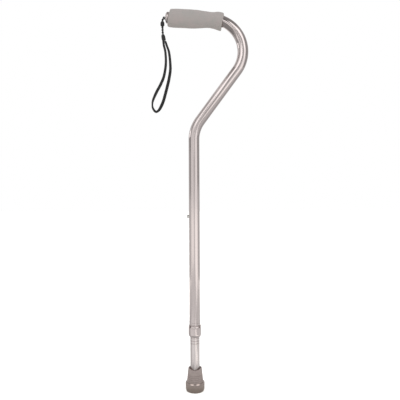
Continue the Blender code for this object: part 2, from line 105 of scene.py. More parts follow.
def newFinish(name, settings):
    finish = bpy.data.materials.new(name)
    finish.use_nodes = True
    shader = finish.node_tree.nodes["Principled BSDF"]
    feed(shader, settings)
    return finish, finish.node_tree, shader


def emptiedTree(holder):
    # the node tree of a material or a world, without its first nodes
    holder.use_nodes = True
    holder.node_tree.nodes.clear()
    return holder.node_tree


def metres(sizes, *names):
    # the named sizes out of a piece's dictionary, lengths in metres and counts as they are
    return {n: sizes[n] if isinstance(sizes[n], int) else sizes[n] * mm for n in names}


def startTree(name, sizes):
    tree = bpy.data.node_groups.new(name, "GeometryNodeTree")
    tree.interface.new_socket("Geometry", in_out="INPUT", socket_type="NodeSocketGeometry")
    for label, value in sizes.items():
        kind = "NodeSocketInt" if isinstance(value, int) else "NodeSocketFloat"
        tree.interface.new_socket(label, in_out="INPUT", socket_type=kind).default_value = value
    tree.interface.new_socket("Geometry", in_out="OUTPUT", socket_type="NodeSocketGeometry")
    return tree, addNode(tree, "NodeGroupInput").outputs


def endTree(tree, shape, finish):
    solid = addNode(tree, "GeometryNodeRealizeInstances", {0: shape})
    painted = addNode(tree, "GeometryNodeSetMaterial", {0: solid, "Material": finish})
    addNode(tree, "NodeGroupOutput", {0: painted})
    return tree


def addTree(piece, tree, sizes):
    grown = piece.modifiers.new(tree.name, "NODES")
    grown.node_group = tree
    for item in tree.interface.items_tree:
        if item.in_out == "INPUT" and item.name in sizes:
            grown[item.identifier] = sizes[item.name]


def addRoundSweep(tree, line, sides, radius, caps):
    # a round tube or rod along a curve
    ring = addNode(tree, "GeometryNodeCurvePrimitiveCircle", {
        "Resolution": sides, "Radius": radius,
    }, {"mode": "RADIUS"})
    return addNode(tree, "GeometryNodeCurveToMesh", {
        "Curve": line, "Profile Curve": ring, "Fill Caps": caps,
    })


def addRaised(tree, shape, height):
    lift = addNode(tree, "ShaderNodeCombineXYZ", {"Z": height})
    return addNode(tree, "GeometryNodeTransform", {"Geometry": shape, "Translation": lift})


def newPiece(name, mesh, finish=None):
    piece = bpy.data.objects.new(name, mesh)
    bpy.context.scene.collection.objects.link(piece)
    if finish:
        mesh.materials.clear()
        mesh.materials.append(finish)
    return piece


def settled(carrier, name):
    # the carrier's modifiers worked out into a plain mesh of its own
    graph = bpy.context.evaluated_depsgraph_get()
    mesh = bpy.data.meshes.new_from_object(carrier.evaluated_get(graph))
    bpy.data.objects.remove(carrier)
    mesh.name = name
    return newPiece(name, mesh)


def lineMesh(name, points, ways=None):
    mesh = bpy.data.meshes.new(name)
    mesh.from_pydata([tuple(p) for p in points], [(i, i + 1) for i in range(len(points) - 1)], [])
    if ways:
        held = mesh.attributes.new("widthWay", "FLOAT_VECTOR", "POINT")
        held.data.foreach_set("vector", [v for way in ways for v in way])
    return mesh


def smoothThrough(points, steps):
    rows = [Vector(p) for p in points]
    ends = [2 * rows[0] - rows[1], *rows, 2 * rows[-1] - rows[-2]]
    found = []
    for a, b, c, d in zip(ends, ends[1:], ends[2:], ends[3:]):
        for i in range(steps):
            t = i / steps
            found.append(0.5 * (
                2 * b + (c - a) * t + (2 * a - 5 * b + 4 * c - d) * t**2
                + (3 * b - a - 3 * c + d) * t**3
            ))
    return [*found, rows[-1]]


def lengthOf(points):
    return sum((b - a).length for a, b in zip(points, points[1:]))


def wayAt(line, i):
    return (line[min(i + 1, len(line) - 1)] - line[max(i - 1, 0)]).normalized()


def arc(start, end, steps):
    # cosine and sine at even steps between two angles in degrees
    turns = [radians(start + (end - start) * i / steps) for i in range(steps + 1)]
    return [(cos(t), sin(t)) for t in turns]


def filleted(corners, steps=5):
    # corners are (radius, height, fillet), and each one with a fillet is rounded off
    spots = [Vector(c[:2]) for c in corners]
    found = []
    for i, (spot, fillet) in enumerate(zip(spots, [c[2] for c in corners])):
        if not fillet or i in (0, len(spots) - 1):
            found.append(tuple(spot))
            continue
        back, ahead = spots[i - 1] - spot, spots[i + 1] - spot
        reach = min(fillet, back.length * 0.49, ahead.length * 0.49)
        start, end = spot + back.normalized() * reach, spot + ahead.normalized() * reach
        for k in range(steps + 1):
            t = k / steps
            found.append(tuple(start * (1 - t) ** 2 + spot * 2 * t * (1 - t) + end * t * t))
    return found


def loftMesh(name, rings, closed=False):
    # rings of equal length joined in order. Unless it is closed, its two ends are capped.
    shape = bmesh.new()
    rows = [[shape.verts.new(p) for p in ring] for ring in rings]
    around = len(rows[0])
    pairs = list(zip(rows, rows[1:] + rows[:1])) if closed else list(zip(rows, rows[1:]))
    for low, high in pairs:
        for i in range(around):
            j = (i + 1) % around
            shape.faces.new((low[i], low[j], high[j], high[i]))
    if not closed:
        shape.faces.new(rows[0][::-1])
        shape.faces.new(rows[-1])
    bmesh.ops.recalc_face_normals(shape, faces=shape.faces)
    mesh = bpy.data.meshes.new(name)
    shape.to_mesh(mesh)
    shape.free()
    mesh.shade_smooth()
    mesh.set_sharp_from_angle(angle=sharpAngle)
    return mesh


def turnedPiece(name, profile, sides, closed=True, place=Matrix.Identity(4), finish=None):
    # a profile of (radius, height) points in millimetres turned about Z, then moved by place
    turns = [tau * i / sides for i in range(sides)]
    rings = [
        [place @ Vector((r * mm * cos(t), r * mm * sin(t), z * mm)) for t in turns]
        for r, z in profile
    ]
    return newPiece(name, loftMesh(name, rings, closed), finish)


drillSides = 48
holeNames = ("holeRadius", "holeCount", "holeStep", "topHole", "holeX", "holeDepth")
slotNames = ("slotCount", "slotReach", "slotBlade", "slotWidth", "slotDepth", "slotLevel")


def makeCutTree(finish, sizes):
    # drills a row of holes through the -X side, and saws slots round the axis above and below a
    # level, by the sizes that it is given
    tree, given = startTree("cut", sizes)
    cutters = []
    if "holeX" in sizes:
        start = addNode(tree, "ShaderNodeCombineXYZ", {"X": given["holeX"], "Z": given["topHole"]})
        step = addNode(tree, "ShaderNodeCombineXYZ", {"Z": given["holeStep"]})
        row = addNode(tree, "GeometryNodeMeshLine", {
            "Count": given["holeCount"], "Start Location": start, "Offset": step,
        }, {"mode": "OFFSET"})
        drill = addNode(tree, "GeometryNodeMeshCylinder", {
            "Vertices": drillSides, "Radius": given["holeRadius"], "Depth": given["holeDepth"],
        })
        cutters.append(addNode(tree, "GeometryNodeInstanceOnPoints", {
            "Points": row, "Instance": drill, "Rotation": (0, radians(90), 0),
        }))
    if "slotReach" in sizes:
        ring = addNode(tree, "GeometryNodeMeshCircle", {
            "Vertices": given["slotCount"], "Radius": given["slotReach"],
        })
        between = addNode(tree, "GeometryNodeTransform", {
            "Geometry": ring, "Rotation": (0, 0, pi / sizes["slotCount"]),
        })
        # the saws' middles lie on the level, so that half of their height cuts
        tall = addNode(tree, "ShaderNodeMath", (given["slotDepth"], 2.0), "MULTIPLY")
        size = addNode(tree, "ShaderNodeCombineXYZ", {
            "X": given["slotBlade"], "Y": given["slotWidth"], "Z": tall,
        })
        saw = addNode(tree, "GeometryNodeMeshCube", {"Size": size})
        outward = addNode(tree, "FunctionNodeAlignRotationToVector", {
            "Vector": addNode(tree, "GeometryNodeInputPosition"),
        }, {"axis": "X"})
        saws = addNode(tree, "GeometryNodeInstanceOnPoints", {
            "Points": between, "Instance": saw, "Rotation": outward,
        })
        cutters.append(addRaised(tree, saws, given["slotLevel"]))
    cut = addNode(tree, "GeometryNodeMeshBoolean", {
        "Mesh 1": given["Geometry"], "Mesh 2": cutters,
    }, {"operation": "DIFFERENCE", "solver": "EXACT"})
    return endTree(tree, cut, finish)


# Finishes

def layered(tree, base, *layers):
    # colours laid over a base, each of them by a share of its own
    colour = linear(base)
    for share, laidOver in layers:
        colour = addNode(tree, "ShaderNodeMix", {
            0: share, mixFrom: colour, mixTo: linear(laidOver),
        }, {"data_type": "RGBA"}).outputs[mixOut]
    return colour


def patternSurface(tree, shader, pattern, gloss=None, tint=None, relief=None):
    # a pattern spreads the roughness between two values, tints between two colours, or raises
    # the surface by a strength and a depth in millimetres
    if gloss:
        spread = addNode(tree, "ShaderNodeMapRange", {
            "Value": pattern, "To Min": gloss[0], "To Max": gloss[1],
        })
        feed(shader, {"Roughness": spread})
    if tint:
        feed(shader, {"Base Color": layered(tree, tint[0], (pattern, tint[1]))})
    if relief:
        bump = addNode(tree, "ShaderNodeBump", {
            "Height": pattern, "Strength": relief[0], "Distance": relief[1] * mm,
        })
        feed(shader, {"Normal": bump})


def fadedFrom(tree, place, level, near, far, start=1.0, end=0.0):
    # goes from start to end between two distances from a level, all in millimetres
    off = addNode(tree, "ShaderNodeMath", (place, level * mm), "SUBTRACT")
    away = addNode(tree, "ShaderNodeMath", {0: off}, "ABSOLUTE")
    return addNode(tree, "ShaderNodeMapRange", {
        "Value": away, "From Min": near * mm, "From Max": far * mm, "To Min": start, "To Max": end,
    })


def drawnLines(tree, place, width, length):
    # fine lines that a die leaves along a tube, by their size in millimetres
    lines = addNode(tree, "ShaderNodeMapping", {
        "Vector": place, "Scale": (1 / (width * mm), 1 / (width * mm), 1 / (length * mm)),
    })
    return addNode(tree, "ShaderNodeTexNoise", {
        "Vector": lines, "Scale": 1.0, "Detail": 3.0, "Roughness": 0.6,
    })


def makeTubeFinish():
    # satin anodised aluminium tube, drawn through a die: soft bright bands with fine lengthwise lines
    finish, tree, shader = newFinish("satinAnodisedTube", {
        "Base Color": linear("#C8BEBC"), "Metallic": 1.0, "Roughness": 0.13,
    })
    place = addNode(tree, "ShaderNodeAttribute", settings={"attribute_name": "straightened"})
    streaks = drawnLines(tree, place.outputs["Vector"], 0.9, 140)
    patternSurface(tree, shader, streaks, (0.07, 0.18), ("#C1B7B5", "#CFC5C3"), (0.25, 0.02))
    return finish


def makeLegFinish():
    # the thinner tube of the same metal, clear anodised and a little lighter, with darker rings just
    # below the collar, drawn coarser than real so that they still show
    finish, tree, shader = newFinish("clearAnodisedLeg", {
        "Base Color": linear("#CFC7C5"), "Metallic": 1.0, "Roughness": 0.18,
    })
    place = addNode(tree, "ShaderNodeTexCoord").outputs["Object"]
    patternSurface(tree, shader, drawnLines(tree, place, 0.8, 120), gloss=(0.12, 0.24))
    # one ring for each 5.5 mm: the texture's own bands are pi / 10 apart
    rings = addNode(tree, "ShaderNodeTexWave", {
        "Vector": place, "Scale": pi / 10 / (5.5 * mm), "Phase Offset": -0.1,
    }, {"bands_direction": "Z"})
    height = addNode(tree, "ShaderNodeSeparateXYZ", {0: place}).outputs["Z"]
    nearCollar = fadedFrom(tree, height, 114, 17, 22)
    collarRings = addNode(tree, "ShaderNodeMath", (rings.outputs["Fac"], nearCollar), "MULTIPLY")
    patternSurface(tree, shader, collarRings, tint=("#D2CAC8", "#BBB1AF"), relief=(0.3, 0.1))
    return finish


def makeFoamFinish():
    # closed-cell nitrile foam, skinned by its mould: dead matt, finely pored with painted shade in the
    # pores, a little mottled
    finish, tree, shader = newFinish("closedCellFoam", {
        "Base Color": linear("#AFA9A7"), "Roughness": 0.92, "Specular IOR Level": 0.2,
    })
    place = addNode(tree, "ShaderNodeTexCoord").outputs["Object"]
    mottle = addNode(tree, "ShaderNodeTexNoise", {
        "Vector": place, "Scale": 1 / (14 * mm), "Detail": 4.0, "Roughness": 0.6,
    })
    tint = layered(tree, "#9FA29E", (mottle, "#B7A9A8"))
    pores = addNode(tree, "ShaderNodeTexVoronoi", {
        "Vector": place, "Scale": 1 / (0.8 * mm),
    }).outputs["Distance"]
    # painted shade: each pore is darkened toward its middle, where the bump sinks it
    poreShade = addNode(tree, "ShaderNodeMapRange", {
        "Value": pores, "From Min": 0.05, "From Max": 0.35, "To Min": 0.86,
    })
    shaded = addNode(tree, "ShaderNodeMix", {
        0: 1.0, mixFrom: tint, mixTo: poreShade,
    }, {"data_type": "RGBA", "blend_type": "MULTIPLY"})
    feed(shader, {"Base Color": shaded.outputs[mixOut]})
    patternSurface(tree, shader, pores, relief=(0.5, 0.12))
    return finish


def makeRubberFinish():
    # moulded grey rubber with a dusty bloom, darker toward the floor, and rubbed smooth on the ledge
    # above its broad base, where two pale patches beside the axis are a painted highlight
    finish, tree, shader = newFinish("mouldedGreyRubber", {
        "Base Color": linear("#92867F"), "Roughness": 0.5, "Specular IOR Level": 0.45,
    })
    ledge = 17.3
    place = addNode(tree, "ShaderNodeTexCoord").outputs["Object"]
    spot = addNode(tree, "ShaderNodeSeparateXYZ", {0: place}).outputs
    bloom = addNode(tree, "ShaderNodeTexNoise", {
        "Vector": place, "Scale": 1 / (5 * mm), "Detail": 5.0, "Roughness": 0.65,
    })
    # darker toward the floor, fading out between 6 and 22 mm up
    towardFloor = fadedFrom(tree, spot["Z"], 0, 6, 22, 0.95)
    # painted highlight: two pale patches on the ledge, about 6 mm left and right of the axis, where the
    # soft boxes shine in it
    onLedge = fadedFrom(tree, spot["Z"], ledge, 0.5, 1.1)
    aside = addNode(tree, "ShaderNodeMath", {0: spot["X"]}, "ABSOLUTE")
    highlightSides = fadedFrom(tree, aside, 6, 1.5, 4.5)
    ledgeHighlight = addNode(tree, "ShaderNodeMath", (onLedge, highlightSides), "MULTIPLY")
    colour = layered(tree, "#8A7E7A", (bloom, "#AC9E9A"), (towardFloor, "#74685F"), (ledgeHighlight, "#F2E0D8"))
    gloss = fadedFrom(tree, spot["Z"], ledge, 1, 2.5, 0.24, 0.5)
    feed(shader, {"Base Color": colour, "Roughness": gloss})
    grain = addNode(tree, "ShaderNodeTexNoise", {
        "Vector": place, "Scale": 1 / (0.6 * mm), "Detail": 2.0,
    })
    patternSurface(tree, shader, grain, relief=(0.4, 0.08))
    return finish


def makeGrainedFinish(name, settings, grain, **effects):
    # a finish with one noise in it, by the noise's settings and by what it does to the surface
    finish, tree, shader = newFinish(name, settings)
    place = addNode(tree, "ShaderNodeTexCoord").outputs["Object"]
    noise = addNode(tree, "ShaderNodeTexNoise", {"Vector": place, **grain})
    patternSurface(tree, shader, noise, **effects)
    return finish


tubeFinish = makeTubeFinish()
legFinish = makeLegFinish()
foamFinish = makeFoamFinish()
rubberFinish = makeRubberFinish()

# polished and nickel plated die casting of the plug: bright, with a faint haze
plugFinish = makeGrainedFinish(
    "polishedPlug", {"Base Color": linear("#C9BFBD"), "Metallic": 1.0, "Roughness": 0.16},
    {"Scale": 1 / (3 * mm), "Detail": 3.0}, gloss=(0.1, 0.24),
)
# nickel plated spring steel: a duller and cloudy shine
steelFinish = makeGrainedFinish(
    "platedSpringSteel", {"Base Color": linear("#C9C7C4"), "Metallic": 1.0, "Roughness": 0.28},
    {"Scale": 1 / (1.5 * mm), "Detail": 4.0}, gloss=(0.18, 0.4),
)
# white acetal, moulded, of the squeezed ring: smooth and half matt
acetalFinish = makeGrainedFinish(
    "whiteAcetal", {"Base Color": linear("#E2E1DC"), "Roughness": 0.45},
    {"Scale": 1 / (2 * mm)}, gloss=(0.38, 0.55),
)
# black polyester yarn: soft, with lighter fibres that catch the light
yarnFinish = makeGrainedFinish(
    "blackPolyesterYarn",
    {"Base Color": linear("#141414"), "Roughness": 0.72, "Sheen Weight": 0.12, "Sheen Roughness": 0.4},
    {"Scale": 1 / (0.35 * mm), "Detail": 3.0, "Roughness": 0.7},
    tint=("#0C0C0C", "#1E1E1E"), relief=(0.5, 0.06),
)
# moulded black PVC of the bead and the crimp sleeve: a dull gloss on a fine grain
sleeveFinish = makeGrainedFinish(
    "mouldedBlackSleeve", {"Base Color": linear("#111112"), "Roughness": 0.45},
    {"Scale": 1 / (0.5 * mm), "Detail": 3.0}, gloss=(0.36, 0.6), relief=(0.3, 0.05),
)
print("finishes made")


# Strap: the cords come first, because their route was settled with the model

strap = {
    "freeEnd": (-51.124, 0, 759.835), "cordWidth": 2.2,
    "cordRoute": [
        (12.2, 0, -0.32), (-3.7, 0, 0.1), (-7.4, 0, 0.2), (-9.7, 0, -0.2), (-11.4, 0, -2.3),
        (-12.1, 0, -5.3), (-12.2, 0, -11.7), (-12.2, 0, -18.9), (-12.0, 0, -25.9),
        (-11.6, 0, -32.4),
    ],
    "loopRoute": [
        (-10.6, 0.0, -46.9), (-9.6, -1.0, -55.4), (-6.2, -3.0, -70.9), (-5.3, -5.0, -95.2),
        (-9.0, -6.0, -119.7), (-15.4, -6.5, -136.1), (-24.2, -6.0, -152.4),
        (-31.6, -4.8, -168.7), (-33.2, -3.2, -178.3), (-31.6, -1.8, -185.8),
        (-26.2, 0.0, -191.4), (-20.3, 1.8, -187.6), (-15.4, 3.4, -178.8),
        (-11.4, 4.6, -168.7), (-6.9, 6.0, -152.4), (-2.8, 6.5, -136.1), (0.9, 6.5, -119.7),
        (3.4, 5.5, -99.4), (1.1, 3.0, -70.7), (-3.8, 1.0, -55.4), (-6.6, 0.0, -47.3),
    ],
    # how the flat braid's face turns from the viewer, by its height on each leg of the loop
    "leftTurns": [
        (-191, 135), (-179, 90), (-170, 50), (-155, 20), (-131, 20), (-105, 40), (-82, 52), (-50, 60),
    ],
    "rightTurns": [
        (-191, 135), (-181, 180), (-168, 195), (-155, 200), (-131, 200), (-105, 220), (-82, 232),
        (-50, 240),
    ],
    "braidWidth": 6.5, "braidThickness": 3.6, "braidStrands": 7, "braidStrandRadius": 1.2,
    "braidLay": 24.0, "twistStrands": 2, "twistLay": 10.4, "twistReach": 1.0,
    "twistStrandRadius": 1.15,
    # the doubled cord stands apart where it leaves the plug, and is slack below the bead
    "exitAlong": 21.0, "exitSwell": 1.2, "exitSpread": 1.2, "slackSwell": 0.25, "slackAlong": 3.0,
    "strandSides": 8, "plaitStep": 0.7, "routeSteps": 6, "beadMiddle": (-12.2, 0, -11.7),
    "beadShape": [
        (1.9, 4.7), (2.2, 4.9), (3.0, 4.2), (3.7, 2.7), (4.05, 0.6), (4.1, -1.5), (3.95, -3.3),
        (3.2, -4.7), (2.2, -5.1), (1.9, -4.9),
    ],
    "crimpTop": (-11.7, 0, -32.9), "crimpBottom": (-9.1, 0, -46.2),
    "crimpShape": [
        (0.4, 0), (2.8, 0), (3.7, 0.5), (4.0, 2.4), (4.05, 5.0), (3.9, 8.2), (3.4, 11.0),
        (2.4, 12.8), (1.2, 13.6), (0.4, 13.7),
    ],
    "crimpFlatness": 0.68, "fittingSteps": 4, "fittingSides": 48,
}


def strapPoints(rows):
    return [(Vector(strap["freeEnd"]) + Vector(row)) * mm for row in rows]


def makePlaitTree(sizes):
    # Strands laid round a flat or round line in one direction. The line's width direction is
    # stored on its points, and its length there spreads or gathers the strands.
    tree, given = startTree("plait", sizes)
    line = addNode(tree, "GeometryNodeMeshToCurve", {0: given["Geometry"]})
    fine = addNode(tree, "GeometryNodeResampleCurve", {
        "Curve": line, "Length": strap["plaitStep"] * mm,
    }, {"mode": "LENGTH"})
    copies = addNode(tree, "GeometryNodeDuplicateElements", {
        0: fine, "Amount": given["strands"],
    }, {"domain": "SPLINE"})
    along = addNode(tree, "GeometryNodeSplineParameter").outputs["Length"]
    share, lays = [
        addNode(tree, "ShaderNodeMath", (part, given[whole]), "DIVIDE")
        for part, whole in ((copies.outputs["Duplicate Index"], "strands"), (along, "lay"))
    ]
    turns = addNode(tree, "ShaderNodeMath", (share, lays), "ADD")
    angle = addNode(tree, "ShaderNodeMath", (turns, tau), "MULTIPLY")
    widthWay = addNode(tree, "GeometryNodeInputNamedAttribute", {
        "Name": "widthWay",
    }, {"data_type": "FLOAT_VECTOR"})
    tangent = addNode(tree, "GeometryNodeInputTangent")
    depthWay = addNode(tree, "ShaderNodeVectorMath", (tangent, widthWay), "CROSS_PRODUCT")
    steps = []
    for swing, reach, way in (("SINE", "halfWidth", widthWay), ("COSINE", "halfDepth", depthWay)):
        swung = addNode(tree, "ShaderNodeMath", {0: angle}, swing)
        far = addNode(tree, "ShaderNodeMath", (swung, given[reach]), "MULTIPLY")
        steps.append(addNode(tree, "ShaderNodeVectorMath", {0: way, "Scale": far}, "SCALE"))
    step = addNode(tree, "ShaderNodeVectorMath", (steps[0], steps[1]), "ADD")
    moved = addNode(tree, "GeometryNodeSetPosition", {"Geometry": copies, "Offset": step})
    rope = addRoundSweep(tree, moved, strap["strandSides"], given["strandRadius"], True)
    soft = addNode(tree, "GeometryNodeSetShadeSmooth", {0: rope})
    return endTree(tree, soft, yarnFinish)


def makePlait(name, line, ways, sizes):
    carrier = newPiece("plaitCarrier", lineMesh("plaitLine", line, ways))
    addTree(carrier, makePlaitTree(sizes), sizes)
    return settled(carrier, name)


def makeFitting(name, shape, closed, place):
    profile = smoothThrough(strap[shape], strap["fittingSteps"])
    return turnedPiece(name, profile, strap["fittingSides"], closed, place, sleeveFinish)


def twistWays(line):
    ways = []
    run = 0
    beadFoot = strapPoints([strap["beadMiddle"]])[0].z / mm + strap["beadShape"][-1][1]
    for i, point in enumerate(line):
        run += (point - line[i - 1]).length / mm if i else 0
        apart = exp(-((run - strap["exitAlong"]) / strap["exitSpread"]) ** 2)
        below = min(max((beadFoot - point.z / mm) / strap["slackAlong"], 0), 1)
        ways.append(depthAxis * (1 + strap["exitSwell"] * apart + strap["slackSwell"] * below))
    return ways


def braidWays(line):
    lowest = min(range(len(line)), key=lambda i: line[i].z)
    ways = []
    for i, point in enumerate(line):
        ahead = wayAt(line, i)
        faceOn = depthAxis.cross(ahead).normalized()
        sideOn = ahead.cross(faceOn).normalized()
        heights, turns = zip(*strap["leftTurns" if i < lowest else "rightTurns"])
        turn = radians(np.interp(point.z / mm - strap["freeEnd"][2], heights, turns))
        ways.append(faceOn * cos(turn) + sideOn * sin(turn))
    return ways


def makeStrap():
    cordLine, loopLine = [
        smoothThrough(strapPoints(strap[route]), strap["routeSteps"])
        for route in ("cordRoute", "loopRoute")
    ]
    cord = makePlait("strapCord", cordLine, twistWays(cordLine), {
        "strands": strap["twistStrands"], "halfWidth": strap["twistReach"] * mm,
        "halfDepth": strap["twistReach"] * mm, "lay": strap["twistLay"] * mm,
        "strandRadius": strap["twistStrandRadius"] * mm,
    })
    thick = strap["braidStrandRadius"]
    loop = makePlait("strapLoop", loopLine, braidWays(loopLine), {
        "strands": strap["braidStrands"], "halfWidth": (strap["braidWidth"] / 2 - thick) * mm,
        "halfDepth": (strap["braidThickness"] / 2 - thick) * mm, "lay": strap["braidLay"] * mm,
        "strandRadius": thick * mm,
    })

    middle, top, bottom = strapPoints([strap[k] for k in ("beadMiddle", "crimpTop", "crimpBottom")])
    bead = makeFitting("strapBead", "beadShape", True, Matrix.Translation(middle))
    axis = top - bottom
    crimp = makeFitting("strapCrimp", "crimpShape", False, (
        Matrix.Translation(bottom) @ Matrix.Rotation(atan2(axis.x, axis.z), 4, "Y")
        @ Matrix.Diagonal((1, strap["crimpFlatness"], 1, 1))
    ))

    dressed = (
        (cord, "strap_cord", "strap_black"), (loop, "strap_loop", "strap_black"),
        (bead, "strap_bead", "bead_black"), (crimp, "strap_crimp", "bead_black"),
    )
    for piece, node, slot in dressed:
        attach(piece, "strap")
        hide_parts(node)
    nodes["strap_knot"].data.materials[0] = yarnFinish
    long = [round(lengthOf(line) / mm) for line in (cordLine, loopLine)]
    print("strap made:", long[0], "mm of cord,", long[1], "mm of braid")


makeStrap()


# Handle tube, bent twice, with its height holes and its slotted and threaded lower end

handle = {
    "tubeRadius": 11.1125, "wall": 1.25, "lowerEnd": 118.4, "shaftLength": 414.4, "lowerBend": 65.0,
    "diagonalLean": 36.5, "diagonalLength": 147.3, "upperBend": 66.7, "gripRise": 1.5,
    "gripLength": 86.9, "bendStep": 2.0, "sides": 72, "holeRadius": 3.55, "holeCount": 9,
    "holeStep": -25.4, "topHole": 354.7, "slotCount": 4, "slotBlade": 6.0, "slotWidth": 1.6,
    "slotDepth": 16.1,
    # The thread is drawn coarser than real, so that its turns still show at the photograph's size
    "threadTop": 142.0, "threadPitch": 4.2, "threadRidge": 0.6, "threadSunk": 0.35,
    "bareThreadSunk": 0.1, "bareThreadStart": 133.3, "threadBreak": 2.0, "threadSteps": 64,
    "threadSides": 12, "straightStep": 5.0,
}


def leaning(lean):
    return Vector((sin(lean), 0, cos(lean)))


def handleLine():
    spot, lean = Vector((0, 0, handle["lowerEnd"])), 0.0
    points = [spot]
    corner = handle["lowerBend"] * tan(radians(handle["diagonalLean"]) / 2)
    upperTurn = -(90 - handle["gripRise"] + handle["diagonalLean"])
    runs = [
        (handle["shaftLength"] - corner, handle["lowerBend"], handle["diagonalLean"]),
        (handle["diagonalLength"] - corner, handle["upperBend"], upperTurn),
        (handle["gripLength"], 0, 0),
    ]
    for straight, radius, turn in runs:
        pieces = max(1, round(straight / handle["straightStep"]))
        for _ in range(pieces):
            spot = spot + leaning(lean) * straight / pieces
            points.append(spot)
        steps = ceil(abs(turn) / handle["bendStep"])
        for _ in range(steps):
            half = radians(turn) / steps / 2
            lean += half
            spot = spot + leaning(lean) * 2 * radius * sin(abs(half))
            lean += half
            points.append(spot)
    return [p * mm for p in points], lean


tubeLine, tubeLean = handleLine()


def makeSweepTree(sizes):
    tree, given = startTree("sweptTube", sizes)
    line = addNode(tree, "GeometryNodeMeshToCurve", {0: given["Geometry"]})
    skin = addRoundSweep(tree, line, given["sides"], given["tubeRadius"], False)
    return endTree(tree, skin, tubeFinish)


def makeThreadTree(sizes):
    tree, given = startTree("thread", sizes)
    tall = addNode(tree, "ShaderNodeMath", (given["pitch"], given["turns"]), "MULTIPLY")
    coil = addNode(tree, "GeometryNodeCurveSpiral", {
        "Resolution": handle["threadSteps"], "Rotations": given["turns"], "Height": tall,
        "Start Radius": given["radius"], "End Radius": given["radius"],
    })
    wound = addRoundSweep(tree, coil, handle["threadSides"], given["ridge"], True)
    return endTree(tree, addRaised(tree, wound, given["start"]), tubeFinish)


def straighten(mesh):
    # stores each point's place in the straightened tube, for patterns that run along it,
    # and gives the round walls their true normals, for clean bands of light
    endRoom, tiny, roundWall = 1 * mm, 1e-9, 0.9
    line = np.array([tuple(p) for p in tubeLine])
    steps = np.diff(line, axis=0)
    lengths = np.linalg.norm(steps, axis=1)
    before = np.concatenate([[0], np.cumsum(lengths)])
    ways = steps / lengths[:, None]
    spots = np.array([vert.co for vert in mesh.vertices], float)
    best = np.full(len(spots), np.inf)
    flat = np.zeros_like(spots)
    radial = np.zeros_like(spots)
    for start, way, length, run in zip(line[:-1], ways, lengths, before):
        offset = spots - start
        t = offset @ way
        t = np.clip(t, -endRoom if run == 0 else 0, length)
        away = offset - t[:, None] * way
        far = np.linalg.norm(away, axis=1)
        nearer = far < best
        best[nearer] = far[nearer]
        side = np.cross((0, 1, 0), way)
        flat[nearer] = np.stack([away @ side, away[:, 1], run + t], axis=1)[nearer]
        radial[nearer] = (away / np.maximum(far, tiny)[:, None])[nearer]
    held = mesh.attributes.new("straightened", "FLOAT_VECTOR", "POINT")
    held.data.foreach_set("vector", flat.reshape(-1))
    mesh.shade_smooth()
    normals = np.empty((len(mesh.loops), 3))
    for face in mesh.polygons:
        out = np.array(face.normal)
        for loop in face.loop_indices:
            wanted = radial[mesh.loops[loop].vertex_index]
            lean = float(out @ wanted)
            normals[loop] = wanted * copysign(1, lean) if abs(lean) > roundWall else out
    mesh.normals_split_custom_set(normals.tolist())


def makeHandleTube():
    carrier = newPiece("tubeCarrier", lineMesh("tubeLine", tubeLine))
    sweep = metres(handle, "tubeRadius", "sides")
    addTree(carrier, makeSweepTree(sweep), sweep)
    wall = carrier.modifiers.new("wall", "SOLIDIFY")
    wall.thickness = handle["wall"] * mm
    wall.offset = -1
    wall.use_even_offset = True
    radius = handle["tubeRadius"]
    sizes = metres({
        **handle, "holeX": -radius, "holeDepth": radius, "slotReach": radius,
        "slotLevel": handle["lowerEnd"],
    }, *holeNames, *slotNames)
    pierce = makeCutTree(tubeFinish, sizes)
    addTree(carrier, pierce, sizes)
    tube = settled(carrier, "handleTube")
    straighten(tube.data)
    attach(tube, "shaft")
    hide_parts("upper_tube")

    # the ridge stands higher above the nut than in it, where it has to fit the nut's bore
    inNut, bare = handle["lowerEnd"] + handle["threadRidge"], handle["bareThreadStart"]
    coils = (
        ("threadInNut", inNut, bare - handle["threadBreak"], handle["threadSunk"]),
        ("bareThread", bare, handle["threadTop"], handle["bareThreadSunk"]),
    )
    for name, start, end, sunk in coils:
        coil = {
            "radius": (radius - sunk) * mm, "pitch": handle["threadPitch"] * mm,
            "turns": (end - start) / handle["threadPitch"], "ridge": handle["threadRidge"] * mm,
            "start": start * mm,
        }
        carrier = newPiece("threadCarrier", lineMesh("threadLine", tubeLine[:2]))
        addTree(carrier, makeThreadTree(coil), coil)
        addTree(carrier, pierce, sizes)
        thread = settled(carrier, name)
        straighten(thread.data)
        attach(thread, "shaft")


makeHandleTube()
print("handle tube made")


# Lower tube, with the hole that the snap button comes through

leg = {
    "radius": 9.525, "wall": 1.25, "bottom": 6.6, "top": 384.7, "rim": 0.25, "rows": 60,
    "sides": 72, "holeRadius": 3.55, "holeCount": 1, "holeStep": 0.0, "topHole": 354.7,
    "holeDepth": 8.0,
}


def makeLowerTube():
    outer, inner = leg["radius"], leg["radius"] - leg["wall"]
    low, high, rim = leg["bottom"], leg["top"], leg["rim"]
    heights = [high - rim - (high - low - 2 * rim) * i / leg["rows"] for i in range(leg["rows"] + 1)]
    profile = [(outer, z) for z in heights]
    profile += [(outer - rim, low), (inner + rim, low)]
    profile += [(inner, z) for z in heights[::-1]]
    profile += [(inner + rim, high), (outer - rim, high)]
    carrier = turnedPiece("legCarrier", profile, leg["sides"])
    sizes = metres({**leg, "holeX": -leg["radius"]}, *holeNames)
    addTree(carrier, makeCutTree(legFinish, sizes), sizes)
    piece = settled(carrier, "lowerTube")
    piece.data.set_sharp_from_angle(angle=sharpAngle)
    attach(piece, "leg")
    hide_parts("lower_tube")


makeLowerTube()
print("lower tube made")


# Collar nut on the thread, with notches in its rim for a spanner

